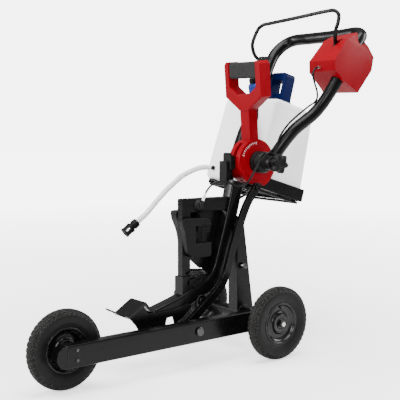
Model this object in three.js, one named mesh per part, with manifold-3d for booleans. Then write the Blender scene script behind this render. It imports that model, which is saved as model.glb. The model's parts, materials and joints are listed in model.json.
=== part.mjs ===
// Three-wheeled cart for a hand-held cut-off saw: a base beam on three wheels, a tilting frame with a foot
// and a saw cradle, a depth lever, a folding handlebar with a throttle bail, and a water tank.
// Millimetres, +X to the machine's left, +Y to the rear, +Z up. Y = 0 is the front axle until the last lines.
import * as THREE from "three";
import { ConvexGeometry } from "three/addons/geometries/ConvexGeometry.js";
import { mergeVertices } from "three/addons/utils/BufferGeometryUtils.js";
import Module from "manifold-3d";

const wasm = await Module();
wasm.setup();

// Driving dimensions
const GAP = 0.3; // clearance between pieces that touch
const WHEEL_R = 127;
const TYRE_W = 50;
const RIM_R = 73;
const AXLE_R = 8;
const FRONT_X = 56; // mid-planes of the wheels
const REAR_X = 216;
const REAR_Y = 750; // wheelbase
const BEAM_X = [90, 130];
const BEAM_Z = [85, 157];
const BEAM_REAR_Y = 790;
const BEAM_WALL = 3;
const TOWER_X = [-10, 40];
const COLUMN_HALF = 25;
const COLUMN_WALL = 3;
const STRUT_X = [44, 58];
const SHAFT_B = [473, 123]; // strut's lower pivot
const CRANK_C = [796, 583]; // strut's upper pivot
const HUB = [815, 672]; // lever and handlebar axis
const DISC_R = 82;
const DISC_HALF = 29;
const LEVER_LEAN = 4.4; // degrees, forward
const TUBE_R = 22;
const BAIL_R = 7;
const BAIL_PIVOT = [1045, 1050];
const TANK_X = [-335, -40];
const TANK_WALL = 4;
const TANK_LEAN = 17; // degrees, tray and tank lean back
const TRAY_ORIGIN = [866, 626];
const BOX_SPLIT_X = 148;
const CABLE_R = 3.5;
const HOSE_R = 10;
const ROUND = 24; // sides of a large round
const SMALL_ROUND = 12;

// Centre line of the main column in (y, z), from the top down to the foot.
const COLUMN_LINE = [
  [736, 605], [704, 482], [667, 362], [642, 291], [606, 252], [560, 231], [483, 199], [425, 182], [366, 166],
];
const STRUT_LINE = [SHAFT_B, [579, 202], [618, 234], [648, 272], [686, 378], [723, 469], [754, 532], CRANK_C];
const STRUT_HALF = 14;

// The handlebar: one arm from the hub up, mirrored for the other side, and the crossbar between them.
const ARM_LINE = [[104, 833, 694], [108, 849, 718], [130, 899, 784], [160, 982, 853], [187, 1042, 943]];
const CROSSBAR_LINE = [
  [-200, 1082, 1022], [-206, 1124, 1078], [-196, 1162, 1112], [-168, 1182, 1128],
  [-80, 1187, 1132], [0, 1191, 1134], [80, 1194, 1137],
  [156, 1197, 1140], [184, 1186, 1129], [194, 1148, 1094], [194, 1088, 1024],
];

// ---------- solids ----------

function toSolid(geometry) {
  const bare = geometry.index ? geometry.toNonIndexed() : geometry.clone();
  bare.deleteAttribute("normal");
  bare.deleteAttribute("uv");
  const merged = mergeVertices(bare, 1e-3);
  return new wasm.Manifold(
    new wasm.Mesh({
      numProp: 3,
      vertProperties: merged.attributes.position.array,
      triVerts: new Uint32Array(merged.index.array),
    }),
  );
}

function toGeometry(solid) {
  const mesh = solid.getMesh();
  const geometry = new THREE.BufferGeometry();
  geometry.setAttribute("position", new THREE.BufferAttribute(mesh.vertProperties, 3));
  geometry.setIndex(new THREE.BufferAttribute(mesh.triVerts, 1));
  const faceted = geometry.toNonIndexed();
  faceted.computeVertexNormals();
  return faceted;
}

function join(...geometries) {
  return toGeometry(geometries.map(toSolid).reduce((sum, next) => sum.add(next)));
}

function cut(geometry, ...tools) {
  return toGeometry(tools.map(toSolid).reduce((left, tool) => left.subtract(tool), toSolid(geometry)));
}

function common(a, b) {
  return toGeometry(toSolid(a).intersect(toSolid(b)));
}

// ---------- shapes ----------

// Local (u, v, w) becomes (x = w, y = u, z = v): a side-view outline extruded across the machine.
const SIDE_VIEW = new THREE.Matrix4().set(0, 0, 1, 0, 1, 0, 0, 0, 0, 1, 0, 0, 0, 0, 0, 1);
// Local (x, y, z) becomes (y, z, x) with the lathe's axis along X.
const AXIS_X = new THREE.Matrix4().set(0, 1, 0, 0, 0, 0, 1, 0, 1, 0, 0, 0, 0, 0, 0, 1);

function box([x0, x1], [y0, y1], [z0, z1]) {
  const geometry = new THREE.BoxGeometry(x1 - x0, y1 - y0, z1 - z0);
  return geometry.translate((x0 + x1) / 2, (y0 + y1) / 2, (z0 + z1) / 2);
}

function outline(points) {
  return new THREE.Shape(points.map(([u, v]) => new THREE.Vector2(u, v)));
}

// An outline whose corners are arcs of the given radius.
function roundedOutline(points, radius) {
  const shape = new THREE.Shape();
  const count = points.length;
  points.forEach(([u, v], i) => {
    const corner = new THREE.Vector2(u, v);
    const before = new THREE.Vector2(...points[(i + count - 1) % count]).sub(corner);
    const after = new THREE.Vector2(...points[(i + 1) % count]).sub(corner);
    const reach = Math.min(radius, before.length() * 0.45, after.length() * 0.45);
    const start = corner.clone().addScaledVector(before.normalize(), reach);
    const end = corner.clone().addScaledVector(after.normalize(), reach);
    if (i === 0) shape.moveTo(start.x, start.y);
    else shape.lineTo(start.x, start.y);
    shape.quadraticCurveTo(corner.x, corner.y, end.x, end.y);
  });
  shape.closePath();
  return shape;
}

function extrude(shape, depth, bevel = 0, curveSegments = 4) {
  return new THREE.ExtrudeGeometry(shape, {
    depth: depth - 2 * bevel,
    bevelEnabled: bevel > 0,
    bevelThickness: bevel,
    bevelSize: bevel,
    bevelOffset: -bevel,
    bevelSegments: 2,
    curveSegments,
  }).translate(0, 0, bevel);
}

// A side-view shape between two x planes.
function sidePlate(shape, [x0, x1], bevel = 0, curveSegments = 4) {
  return extrude(shape, x1 - x0, bevel, curveSegments).translate(0, 0, x0).applyMatrix4(SIDE_VIEW);
}

// A round bar along X at (y, z).
function rod([x0, x1], [y, z], radius, sides = SMALL_ROUND) {
  const geometry = new THREE.CylinderGeometry(radius, radius, x1 - x0, sides);
  return geometry.applyMatrix4(AXIS_X).translate((x0 + x1) / 2, y, z);
}

// A turned piece about X: the profile lists [radius, x], along the outside in the direction of +X.
function turned(profile, x, [y, z], sides = ROUND) {
  const points = profile.map(([radius, along]) => new THREE.Vector2(radius, along));
  return new THREE.LatheGeometry(points, sides).applyMatrix4(AXIS_X).translate(x, y, z);
}

function closedRing(profile, x, at, sides) {
  return turned([...profile, profile[0]], x, at, sides);
}

// A hexagonal nut with a round hole, along X.
function hexNut([x0, x1], [y, z], acrossCorners, holeR) {
  const nut = rod([x0, x1], [y, z], acrossCorners, 6);
  return cut(nut, rod([x0 - 1, x1 + 1], [y, z], holeR));
}

function curve(points) {
  const vectors = points.map((p) => new THREE.Vector3(...p));
  return new THREE.CatmullRomCurve3(vectors, false, "centripetal");
}

function circle(radius, sides) {
  const shape = new THREE.Shape();
  for (let i = 0; i < sides; i++) {
    const angle = (2 * Math.PI * i) / sides;
    if (i === 0) shape.moveTo(radius, 0);
    else shape.lineTo(radius * Math.cos(angle), radius * Math.sin(angle));
  }
  shape.closePath();
  return shape;
}

// A bar of round section along a smooth curve.
function bentRod(points, radius, sides, steps) {
  return new THREE.ExtrudeGeometry(circle(radius, sides), { steps, extrudePath: curve(points) });
}

// The band of the given half width along a smooth side-view line, with square ends.
function ribbon(line, half, steps) {
  const path = curve(line.map(([y, z]) => [0, y, z]));
  const near = [];
  const far = [];
  for (let i = 0; i <= steps; i++) {
    const at = path.getPoint(i / steps);
    const along = path.getTangent(i / steps);
    near.push([at.y - along.z * half, at.z + along.y * half]);
    far.push([at.y + along.z * half, at.z - along.y * half]);
  }
  return outline([...near, ...far.reverse()]);
}

function turnedAbout(geometry, [y, z], degrees) {
  return geometry.translate(0, -y, -z).rotateX(THREE.MathUtils.degToRad(degrees)).translate(0, y, z);
}

// From the leaning frame of the tank and tray, whose origin is the tray's upper front edge.
function leaning(geometry) {
  return geometry.rotateX(THREE.MathUtils.degToRad(-TANK_LEAN)).translate(0, ...TRAY_ORIGIN);
}

// From the lever's own upright frame, whose origin is the hub axis.
function onLever(geometry) {
  return geometry.rotateX(THREE.MathUtils.degToRad(LEVER_LEAN)).translate(0, ...HUB);
}

const COLUMN_BAND = 24;
const columnEnvelope = sidePlate(
  ribbon(COLUMN_LINE, COLUMN_HALF + GAP, COLUMN_BAND),
  [-COLUMN_HALF - GAP, COLUMN_HALF + GAP],
);

const farArm = ARM_LINE.map(([x, y, z]) => [-x, y, z]);
const HANDLEBAR_LINE = [...farArm, ...CROSSBAR_LINE, ...[...ARM_LINE].reverse()];
const HANDLEBAR_STEPS = 40;
const armEnvelope = bentRod(HANDLEBAR_LINE, TUBE_R + 1, 10, HANDLEBAR_STEPS);

// ---------- materials ----------

function finish(color, roughness, metalness = 0) {
  return new THREE.MeshStandardMaterial({ color, roughness, metalness });
}

const blackPaint = finish(0x17181a, 0.42, 0.3);
const blackPlastic = finish(0x1d1e20, 0.6);
const rubber = finish(0x222224, 0.9);
const zinc = finish(0xa9abae, 0.35, 0.9);
const redPlastic = finish(0xc4101f, 0.45);
const gripRubber = finish(0x35363a, 0.8);
const bluePlastic = finish(0x1d3fb0, 0.4);
const whitePlastic = finish(0xe9eae6, 0.45);
const clearHose = finish(0xdfe3e2, 0.3);
clearHose.transparent = true;
clearHose.opacity = 0.8;

const machine = new THREE.Group();

function add(name, geometry, material) {
  const mesh = new THREE.Mesh(geometry, material);
  mesh.name = name;
  machine.add(mesh);
}

// ---------- wheels ----------

const TYRE_PROFILE = [
  [RIM_R, -17], [84, -22], [100, -TYRE_W / 2], [118, -21], [WHEEL_R, -10],
  [WHEEL_R, 10], [118, 21], [100, TYRE_W / 2], [84, 22], [RIM_R, 17],
];
const RIM_PROFILE = [
  [26.3, -17.6], [34, -17.6], [42, -4], [62, -7], [66, -17.6], [RIM_R - GAP, -17],
  [RIM_R - GAP, 17], [66, 17.6], [62, 7], [42, 4], [34, 17.6], [26.3, 17.6],
];
const BEARING_PROFILE = [[AXLE_R + GAP, -16], [26, -16], [26, 16], [AXLE_R + GAP, 16]];

function addWheel(name, x, y) {
  const at = [y, WHEEL_R];
  add(`${name}_tyre`, closedRing(TYRE_PROFILE, x, at, ROUND), rubber);
  add(`${name}_rim`, closedRing(RIM_PROFILE, x, at, ROUND), blackPaint);
  add(`${name}_bearing`, closedRing(BEARING_PROFILE, x, at, SMALL_ROUND), zinc);
}

addWheel("front_wheel", FRONT_X, 0);
addWheel("rear_left_wheel", REAR_X, REAR_Y);
addWheel("rear_right_wheel", -REAR_X, REAR_Y);

// ---------- chassis ----------

function baseBeam() {
  const [x0, x1] = BEAM_X;
  const [z0, z1] = BEAM_Z;
  const outer = box(BEAM_X, [-30, BEAM_REAR_Y], BEAM_Z);
  const width = [x0 + BEAM_WALL, x1 - BEAM_WALL];
  const inner = box(width, [-31, BEAM_REAR_Y + 1], [z0 + BEAM_WALL, z1 - BEAM_WALL]);
  const bores = [
    rod([x0 - 1, x1 + 1], [REAR_Y, WHEEL_R], AXLE_R + GAP),
    rod([x0 - 1, x1 + 1], SHAFT_B, AXLE_R + GAP),
    ...NOSE_SCREWS.map((at) => rod([x1 - BEAM_WALL - 1, x1 + 1], at, SCREW_R + GAP, 8)),
  ];
  return cut(outer, inner, ...bores);
}

const SCREW_R = 2.5;
const NOSE_SCREWS = [[3, 140], [3, 108]];

function beamNose() {
  const centreZ = (BEAM_Z[0] + BEAM_Z[1]) / 2;
  const round = new THREE.Shape();
  const radius = (BEAM_Z[1] - BEAM_Z[0]) / 2;
  round.absarc(-30 - GAP, centreZ, radius, Math.PI / 2, (3 * Math.PI) / 2);
  round.closePath();
  const inset = BEAM_WALL + GAP;
  const plug = box([BEAM_X[0] + inset, BEAM_X[1] - inset], [-31, 14], [BEAM_Z[0] + inset, BEAM_Z[1] - inset]);
  const screwBores = NOSE_SCREWS.map((at) => rod([108, BEAM_X[1]], at, SCREW_R + GAP, 8));
  return cut(join(sidePlate(round, BEAM_X, 2, 10), plug), ...screwBores);
}

function noseScrew(at) {
  const x = BEAM_X[1] + GAP;
  const profile = [[0, x - 16], [SCREW_R, x - 16], [SCREW_R, x], [5.5, x], [5, x + 3], [0, x + 3.4]];
  return turned(profile, 0, at, 12);
}

add("base_beam", baseBeam(), blackPaint);
add("beam_nose", beamNose(), blackPaint);
add("nose_screw_upper", noseScrew(NOSE_SCREWS[0]), zinc);
add("nose_screw_lower", noseScrew(NOSE_SCREWS[1]), zinc);

const FRONT_AXLE_PROFILE = [
  [0, 25], [AXLE_R, 25], [AXLE_R, 72.6], [13, 72.6], [13, 83], [19, 84.5],
  [19, BEAM_X[0] - GAP], [0, BEAM_X[0] - GAP],
];
add("front_axle", turned(FRONT_AXLE_PROFILE, 0, [0, WHEEL_R], SMALL_ROUND), zinc);
add("front_axle_nut", hexNut([28, 38], [0, WHEEL_R], 13, AXLE_R + GAP), zinc);

const CROSS_TUBE_R = 22;
const CROSS_TUBE_X = [-170, BEAM_X[0] - GAP];
add(
  "cross_tube",
  cut(
    rod(CROSS_TUBE_X, [REAR_Y, WHEEL_R], CROSS_TUBE_R, ROUND),
    rod([-171, BEAM_X[0]], [REAR_Y, WHEEL_R], AXLE_R + GAP),
  ),
  blackPaint,
);
const AXLE_END = 247;
const REAR_AXLE_PROFILE = [
  [0, -AXLE_END], [AXLE_R, -AXLE_END], [AXLE_R, -199.6], [12, -199.6], [12, -170.4], [AXLE_R, -170.4],
  [AXLE_R, 130.4], [12, 130.4], [12, 199.6], [AXLE_R, 199.6], [AXLE_R, AXLE_END], [0, AXLE_END],
];
add("rear_axle", turned(REAR_AXLE_PROFILE, 0, [REAR_Y, WHEEL_R], SMALL_ROUND), zinc);
add("rear_axle_nut_left", hexNut([233, 243], [REAR_Y, WHEEL_R], 13, AXLE_R + GAP), zinc);
add("rear_axle_nut_right", hexNut([-243, -233], [REAR_Y, WHEEL_R], 13, AXLE_R + GAP), zinc);

const PIVOT_PROFILE = [
  [0, 36], [13, 36], [13, 43.5], [AXLE_R, 43.5], [AXLE_R, 58.6], [12, 58.6], [12, BEAM_X[0] - GAP],
  [AXLE_R, BEAM_X[0] - GAP], [AXLE_R, BEAM_X[1] + GAP],
  [15, BEAM_X[1] + GAP], [15, 137], [11, 140.5], [0, 140.5],
];
add("strut_pivot_shaft", turned(PIVOT_PROFILE, 0, SHAFT_B, SMALL_ROUND), zinc);

// ---------- strut ----------

function strut() {
  const bar = sidePlate(ribbon(STRUT_LINE, STRUT_HALF, 20), STRUT_X);
  const lower = rod(STRUT_X, SHAFT_B, 18, 20);
  const upper = rod(STRUT_X, CRANK_C, 17, 20);
  const OPEN_PIVOT_R = 10;
  const bores = [
    rod([STRUT_X[0] - 1, STRUT_X[1] + 1], SHAFT_B, AXLE_R + GAP),
    rod([STRUT_X[0] - 1, STRUT_X[1] + 1], CRANK_C, OPEN_PIVOT_R),
  ];
  return cut(join(bar, lower, upper), ...bores);
}
add("depth_strut", strut(), blackPaint);

// ---------- tilting frame ----------

function column() {
  const outer = sidePlate(ribbon(COLUMN_LINE, COLUMN_HALF, COLUMN_BAND), [-COLUMN_HALF, COLUMN_HALF]);
  const first = COLUMN_LINE[0];
  const last = COLUMN_LINE[COLUMN_LINE.length - 1];
  const longer = [[first[0] + 3, first[1] + 11], ...COLUMN_LINE, [last[0] - 10, last[1] - 3]];
  const half = COLUMN_HALF - COLUMN_WALL;
  return cut(outer, sidePlate(ribbon(longer, half, COLUMN_BAND), [-half, half]));
}
add("main_column", column(), blackPaint);

const TOWER_KNOB = [741, 303];
function tower() {
  const body = sidePlate(outline([[717, 140], [793, 140], [744, 480], [717, 480]]), TOWER_X);
  const sleeve = rod([TOWER_X[0] - 6, TOWER_X[1] + 3], [REAR_Y, WHEEL_R], 33, ROUND);
  const hollow = sidePlate(
    outline([[721, 190], [781, 190], [740.5, 481], [721, 481]]),
    [TOWER_X[0] + COLUMN_WALL, TOWER_X[1] - COLUMN_WALL],
  );
  const bore = rod([TOWER_X[0] - 7, TOWER_X[1] + 4], [REAR_Y, WHEEL_R], CROSS_TUBE_R + GAP, ROUND);
  const pinBore = rod([TOWER_X[1] - 5, TOWER_X[1] + 1], TOWER_KNOB, 6 + GAP);
  return cut(join(body, sleeve), hollow, bore, pinBore, columnEnvelope);
}
add("rear_tower", tower(), blackPaint);
add(
  "lock_pin",
  turned([[0, 34], [6, 34], [6, 46], [11, 47], [12, 52], [9, 57], [0, 58]], 0, TOWER_KNOB, SMALL_ROUND),
  zinc,
);

const FOOT_HALF = 45;
function footPlate() {
  const bent = outline([
    [248, 187], [316, 229], [338, 202], [350, 197], [350, 190], [335, 194], [314, 219], [252, 180],
  ]);
  const plate = sidePlate(bent, [-FOOT_HALF, FOOT_HALF]);
  const tab = new THREE.Shape();
  tab.moveTo(-14, 8);
  tab.lineTo(14, 8);
  tab.lineTo(14, -58);
  tab.absarc(0, -58, 14, 0, Math.PI, true);
  tab.closePath();
  tab.holes.push(new THREE.Path().absarc(0, -58, 5.5, 0, 2 * Math.PI));
  const TAB_SLOPE = -28;
  const tabPlate = extrude(tab, 5, 0, 8)
    .rotateX(THREE.MathUtils.degToRad(TAB_SLOPE))
    .translate(0, 252, 180.5);
  return join(plate, tabPlate);
}
add("foot_plate", footPlate(), blackPaint);
add(
  "foot_side_plate",
  sidePlate(
    outline([
      [258, 181.5], [284, 152], [300, 128], [404, 128], [412, 160], [436, 160], [444, 132], [480, 150],
      [520, 186], [500, 196], [440, 186], [398, 186], [356, 183], [334, 188], [314, 214],
    ]),
    [COLUMN_HALF + GAP, COLUMN_HALF + 6],
  ),
  blackPaint,
);

// ---------- saw cradle ----------

const POST_Y = [490, 525];
const POST_X = [-14, 14];
const POST_Z = [258, 556];
add(
  "cradle_post",
  cut(box(POST_X, POST_Y, POST_Z), box([-11, 11], [493, 522], [POST_Z[0] - 1, POST_Z[1] + 1])),
  blackPaint,
);
const BOOT_AT = [562, 532];
const BOOT_R = 21;
function cradleArm() {
  const bar = sidePlate(outline([[525.3, 508], [525.3, 556], [725, 552], [712, 506]]), POST_X);
  return cut(bar, columnEnvelope, rod([2, 15], BOOT_AT, BOOT_R + GAP, 20));
}
add("cradle_arm", cradleArm(), blackPaint);
add(
  "cable_boot",
  turned([[0, 3], [BOOT_R, 3], [BOOT_R, 16], [16, 20], [15, 23], [9, 25], [9, 30], [0, 30]], 0, BOOT_AT, 20),
  rubber,
);

const CHEEK_GAP = 0.6;
const THROTTLE_PIVOT = [572, 494];
function nearCheek() {
  const plate = roundedOutline(
    [[470, 486], [503, 492], [585, 486], [600, 470], [600, 352], [520, 352], [496, 372], [486, 440]],
    10,
  );
  return cut(sidePlate(plate, [POST_X[1] + CHEEK_GAP, 38], 0, 3), box([10, 50], [532, 604], [402, 462]));
}
function farCheek() {
  const plate = roundedOutline(
    [[484, 514], [486, 490], [508, 440], [522, 372], [560, 352], [600, 352], [600, 512], [560, 514]],
    10,
  );
  return sidePlate(plate, [-48, POST_X[0] - CHEEK_GAP], 0, 3);
}
add("cradle_cheek_left", nearCheek(), blackPlastic);
add("cradle_cheek_right", farCheek(), blackPlastic);

function throttleFinger() {
  const finger = roundedOutline([[563, 503], [581, 503], [582, 470], [572, 436], [560, 436], [562, 470]], 6);
  return join(sidePlate(finger, [-9, 9], 1), rod([-14, 14], THROTTLE_PIVOT, 5, 12));
}
add("throttle_finger", throttleFinger(), blackPlastic);

// A web between the far cheek, the arm and the column.
function gusset() {
  const web = outline([
    [535, 350], [601, 350], [601, 505], [716, 505], [690, 430], [660, 345],
    [640, 290], [604, 290], [604, 303], [590, 303],
  ]);
  return cut(sidePlate(web, [-24, -16]), columnEnvelope);
}
add("cradle_gusset", gusset(), blackPaint);

const HOOP_HALF = [
  [0, 596, 296], [22, 590, 296], [38, 572, 296], [41, 548, 296], [32, 526, 296], [20, 514, 296],
];
const hoopMirror = HOOP_HALF.slice(1).map(([x, y, z]) => [-x, y, z]);
add("cradle_hoop", bentRod([...hoopMirror.reverse(), ...HOOP_HALF], 5, 8, 24), blackPaint);

function postBracket() {
  const shell = box([-22, 22], [484, 538], [225, 288]);
  const well = box([POST_X[0] - GAP, POST_X[1] + GAP], [POST_Y[0] - GAP, POST_Y[1] + GAP], [257, 291]);
  const pinHoles = [276, 254].map((z) => rod([-30, 30], [532, z], 3, 12));
  return cut(shell, well, columnEnvelope, ...pinHoles);
}
add("post_bracket", postBracket(), blackPaint);
function latch() {
  const arm = roundedOutline([
    [508, 258], [528, 258], [560, 272], [572, 289], [562, 295], [546, 286], [512, 276],
  ], 6);
  return sidePlate(arm, [22.6, 28.6], 0, 3);
}
add("post_latch", latch(), blackPaint);

// ---------- hub ----------

const SPINDLE_R = 12;
const TONGUE_HALF = 5.5;
function hubBracket() {
  const FAR_X = -48;
  const foot = outline([[704, 592], [704, 676], [731, 676], [731, 640], [724, 612], [716, 592]]);
  const lower = sidePlate(foot, [FAR_X, -7], 2);
  const head = outline([[719, 670], [719, 700], [725, 706], [731, 698], [731, 670]]);
  const upper = sidePlate(head, [FAR_X + 3, -8], 2);
  const flange = box([FAR_X, -32], [712, 760], [592, 634]);
  const bridge = box([-10, TONGUE_HALF], [714, 729], [648, 697]);
  const blade = outline([[715, 652], [715, 694], [760, 688], [800, 684], [800, 667], [760, 656]]);
  const tongue = sidePlate(blade, [-TONGUE_HALF, TONGUE_HALF]);
  const eye = rod([-TONGUE_HALF, TONGUE_HALF], HUB, 24, 24);
  const bore = rod([-10, 10], HUB, SPINDLE_R + GAP, 20);
  return cut(join(lower, upper, flange, bridge, tongue, eye), bore, columnEnvelope);
}
add("hub_bracket", hubBracket(), blackPlastic);
add("hub_spindle", rod([-79, 79], HUB, SPINDLE_R, 20), zinc);

// A sector of a disc about the hub axis, angles in degrees from +Y towards +Z.
function sector(fromDegrees, toDegrees, innerR, outerR) {
  const start = THREE.MathUtils.degToRad(fromDegrees);
  const end = THREE.MathUtils.degToRad(toDegrees);
  const shape = new THREE.Shape();
  shape.absarc(HUB[0], HUB[1], outerR, start, end, false);
  shape.absarc(HUB[0], HUB[1], innerR, end, start, true);
  shape.closePath();
  return shape;
}

const SLOT_HALF = 7.5;
function leverCasting() {
  const disc = rod([-DISC_HALF, DISC_HALF], HUB, DISC_R, 36);
  const step = rod([DISC_HALF - 1, DISC_HALF + 4], HUB, 62, 28);
  const tail = sidePlate(sector(-66, -24, 60, 97), [-DISC_HALF, DISC_HALF], 3, 6);
  const shaft = onLever(box([-23, 23], [-20, 20], [60, 196]));
  const fork = outline([
    [-23, 186], [23, 186], [98, 234], [98, 350], [89, 360], [70.4, 360], [70.4, 270], [32, 244],
    [-32, 244], [-70.4, 270], [-70.4, 360], [-86, 360], [-95, 350], [-95, 234],
  ]);
  const forkSolid = extrude(fork, 50, 4).rotateX(Math.PI / 2).translate(0, 25, 0);
  const cavity = rod([-SLOT_HALF, SLOT_HALF], HUB, 27, 28);
  const slot = sidePlate(sector(124, 201, 10, DISC_R + 5), [-SLOT_HALF, SLOT_HALF], 0, 10);
  const crankSlot = sidePlate(sector(232, 280, 40, DISC_R + 5), [-6.4, 6.4], 0, 6);
  const bore = rod([-40, 40], HUB, SPINDLE_R + GAP, 20);
  return cut(join(disc, step, tail, shaft, onLever(forkSolid)), cavity, slot, crankSlot, bore);
}
add("depth_lever", leverCasting(), redPlastic);
const gripShape = roundedOutline([[-22, 299], [22, 299], [22, 358], [-22, 358]], 10);
add("lever_grip", onLever(sidePlate(gripShape, [-70, 70])), gripRubber);

function crank() {
  const plate = sidePlate(
    roundedOutline([[790, 632], [816, 632], [812, 574], [796, 567], [782, 575]], 6),
    [-6, 6],
  );
  const pin = turned(
    [[0, -5], [7, -5], [7, 59], [12, 59], [12, 63], [0, 63]], 0, CRANK_C, SMALL_ROUND,
  );
  return join(plate, pin);
}
add("lever_crank", crank(), blackPaint);

// ---------- handlebar ----------

const BOSS_PROFILE = [
  [SPINDLE_R + GAP, DISC_HALF + 4.6], [39, DISC_HALF + 4.6], [39, 70], [34, 80], [26, 81],
  [26, 120], [9, 120], [9, 82], [SPINDLE_R + GAP, 82],
];
add("handlebar_boss_left", closedRing(BOSS_PROFILE, 0, HUB, ROUND), blackPlastic);
const rightBoss = closedRing(BOSS_PROFILE, 0, HUB, ROUND).rotateZ(Math.PI).translate(0, 2 * HUB[0], 0);
add("handlebar_boss_right", rightBoss, blackPlastic);

function handlebar() {
  const whole = bentRod(HANDLEBAR_LINE, TUBE_R, 10, HANDLEBAR_STEPS);
  const bore = bentRod(HANDLEBAR_LINE, TUBE_R - 2.5, 6, HANDLEBAR_STEPS);
  return cut(whole, bore);
}
add("handlebar", handlebar(), blackPaint);

const KNOB_LOBES = 6;
function starKnob() {
  const lobes = new THREE.Shape();
  const STEPS = 36;
  for (let i = 0; i < STEPS; i++) {
    const angle = (2 * Math.PI * i) / STEPS;
    const radius = 31 + 5 * Math.cos(KNOB_LOBES * angle);
    const point = [HUB[0] + radius * Math.cos(angle), HUB[1] + radius * Math.sin(angle)];
    if (i === 0) lobes.moveTo(...point);
    else lobes.lineTo(...point);
  }
  lobes.closePath();
  const head = sidePlate(lobes, [132, 162], 3);
  return join(head, rod([121, 133], HUB, 14, 16), rod([84, 122], HUB, 8, 12));
}
add("clamp_knob", starKnob(), blackPlastic);

// ---------- control box, bail and cables ----------

const BOX_CORNERS = [
  [225, 1064, 1106], [225, 1163, 1069], [225, 1060, 958], [225, 1010, 999], [225, 1006, 1034],
  [195, 1215, 1090], [195, 1246, 1052], [195, 1236, 1003], [195, 1162, 920], [195, 1150, 1138],
  [80, 1024, 1033], [80, 1026, 993], [80, 1100, 1111], [80, 1141, 1128], [80, 1104, 919],
  [80, 1161, 926], [80, 1228, 1008], [80, 1235, 1053], [80, 1202, 1094],
];
const BOX_CENTRE = new THREE.Vector3(150, 1120, 1030);
const BOX_INNER = 0.955;

function boxHull(scale) {
  const corners = BOX_CORNERS.map((p) => new THREE.Vector3(...p).sub(BOX_CENTRE).multiplyScalar(scale));
  return new ConvexGeometry(corners).translate(...BOX_CENTRE);
}

const BAIL_LINE = [
  [-195, 1045, 1050], [-208, 1045, 1050], [-216, 1038, 1056], [-218, 1022, 1074], [-217, 1011, 1108],
  [-210, 1022, 1150], [-202, 1031, 1172], [-184, 1037, 1184], [-152, 1039, 1187],
  [0, 1042, 1199], [148, 1045, 1211],
  [178, 1048, 1211], [196, 1051, 1198], [200, 1047, 1172], [193, 1042, 1142], [181, 1052, 1114],
  [171.6, 1063.5, 1095.7], [163, 1062, 1074], [156, 1050, 1056], [148, 1045, 1050],
];
const BAIL_STEPS = 48;
const BAIL_TRAVEL = 28; // degrees, back towards the crossbar
const BAIL_SLOT_STEPS = 8;
const bailSlot = [];
for (let i = 0; i <= BAIL_SLOT_STEPS; i++) {
  const leg = bentRod(BAIL_LINE.slice(14), BAIL_R + 1.5, 8, 12);
  bailSlot.push(turnedAbout(leg, BAIL_PIVOT, (-BAIL_TRAVEL * i) / BAIL_SLOT_STEPS));
}

const UPPER_CABLE = [
  [140, 1026, 1012], [142, 1004, 1010], [146, 984, 1000], [150, 974, 982], [156, 976, 955], [163, 981, 928],
  [166, 981, 908], [165, 979, 897],
];

function boxHalf([x0, x1]) {
  const shell = cut(boxHull(1), boxHull(BOX_INNER));
  const half = common(shell, box([x0, x1], [900, 1300], [850, 1200]));
  const cableHole = bentRod(UPPER_CABLE, CABLE_R + 2, 8, 20);
  return cut(half, armEnvelope, ...bailSlot, cableHole);
}
add("control_box_outer", boxHalf([BOX_SPLIT_X + GAP / 2, 260]), redPlastic);
add("control_box_inner", boxHalf([40, BOX_SPLIT_X - GAP / 2]), redPlastic);

add("throttle_bail", bentRod(BAIL_LINE, BAIL_R, 8, BAIL_STEPS), blackPaint);
function bailBracket() {
  const plate = roundedOutline([[1031, 1035], [1031, 1064], [1096, 1066], [1096, 1035]], 10);
  const bore = rod([-210, -180], BAIL_PIVOT, BAIL_R + 1, 20);
  return cut(sidePlate(plate, [-203, -196]), bore, armEnvelope);
}
add("bail_bracket", bailBracket(), blackPaint);
add("cable_upper", cut(bentRod(UPPER_CABLE, CABLE_R, 8, 16), armEnvelope), rubber);

const MID_CABLE = [
  [162, 971, 885], [156, 956, 875], [142, 917, 845], [128, 878, 810], [117, 850, 771],
  [112, 835, 736], [110, 822, 722], [105, 804, 708], [99, 790, 696], [96, 784, 688],
];
const LOWER_CABLE = [
  [88, 782, 684], [85, 769, 664], [80, 756, 640], [68, 750, 616],
  [52, 748, 600], [40, 728, 590], [36, 700, 596],
  [36, 668, 609], [34, 636, 610], [30, 608, 601], [27, 588, 582], [26, 577, 562], [25.5, 572, 550],
];
add("cable_middle", cut(bentRod(MID_CABLE, CABLE_R, 8, 18), armEnvelope), rubber);
add("cable_lower", bentRod(LOWER_CABLE, CABLE_R, 8, 28), rubber);

// ---------- tank, tray and rack ----------

const TRAY_Y = [4, 268.5];
const TRAY_H = 48;
function tankTray() {
  const outer = leaning(box([TANK_X[0] - 6.5, TANK_X[1] + 6.5], TRAY_Y, [-TRAY_H, 0]));
  const inner = leaning(box([TANK_X[0] - 1.5, TANK_X[1] + 1.5], [TRAY_Y[0] + 5, TRAY_Y[1] - 5], [-60, 10]));
  const openFront = leaning(box([TANK_X[0] - 10, TANK_X[1] - 4], [TRAY_Y[0] - 1, 40], [-60, 10]));
  const bar = (x) => leaning(box([x - 8, x + 8], [16, TRAY_Y[1] - 2], [-40, -34.3]));
  const bars = [-300, -225, -150, -75].map(bar);
  return join(cut(outer, inner, openFront), ...bars);
}
add("tank_tray", tankTray(), blackPaint);

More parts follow.
